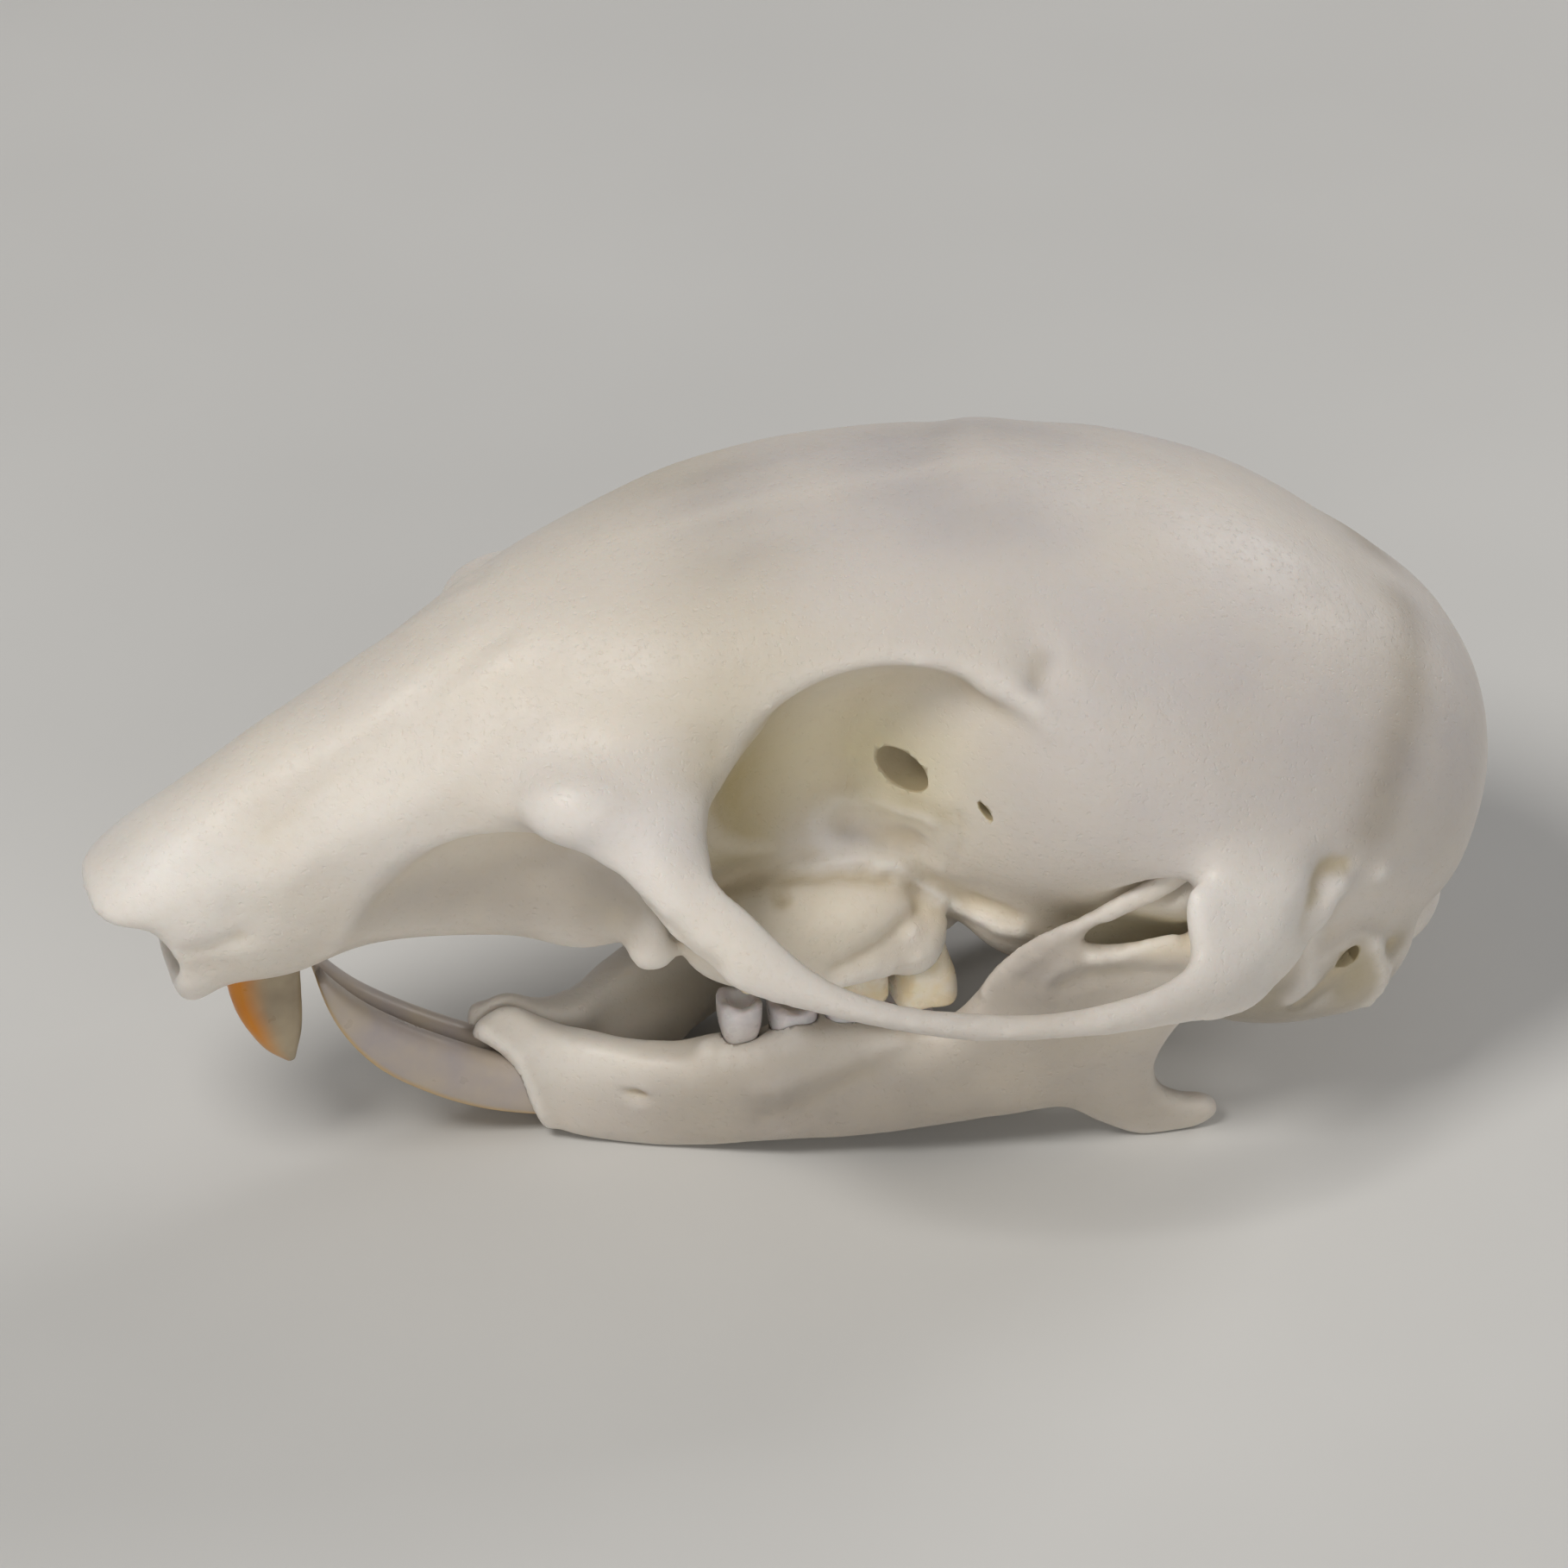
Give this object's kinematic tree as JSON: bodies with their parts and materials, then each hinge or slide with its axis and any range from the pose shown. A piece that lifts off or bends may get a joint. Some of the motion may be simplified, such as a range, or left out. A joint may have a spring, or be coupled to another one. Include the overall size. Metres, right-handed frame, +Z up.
{
  "type": "chipmunk skull",
  "caption": "Cleaned chipmunk skull, jaw closed: domed braincase, slender cheek arches round open eye sockets, tapering snout, long curved front teeth and low cusped cheek teeth.",
  "frame": {"origin": "centre of the bounding box's base, on the table under the skull", "axes": "+Z up, the snout points to -X, the skull's left side faces -Y"},
  "size_m": [0.0407, 0.0229, 0.0204],
  "materials": {
    "bone": "dry cleaned bone, satin",
    "incisor": "grey dentine with an orange enamel front",
    "cheek_tooth": "yellowish enamel"
  },
  "bodies": {
    "root": {"cranium": "bone", "mandible_left": "bone", "mandible_right": "bone", "upper_incisor_left": "incisor", "upper_incisor_right": "incisor", "lower_incisor_left": "incisor", "lower_incisor_right": "incisor", "upper_premolar_left": "cheek_tooth", "upper_premolar_right": "cheek_tooth", "upper_first_molar_left": "cheek_tooth", "upper_first_molar_right": "cheek_tooth", "upper_second_molar_left": "cheek_tooth", "upper_second_molar_right": "cheek_tooth", "upper_third_molar_left": "cheek_tooth", "upper_third_molar_right": "cheek_tooth", "lower_premolar_left": "cheek_tooth", "lower_premolar_right": "cheek_tooth", "lower_first_molar_left": "cheek_tooth", "lower_first_molar_right": "cheek_tooth", "lower_second_molar_left": "cheek_tooth", "lower_second_molar_right": "cheek_tooth", "lower_third_molar_left": "cheek_tooth", "lower_third_molar_right": "cheek_tooth"}
  },
  "joints": []
}
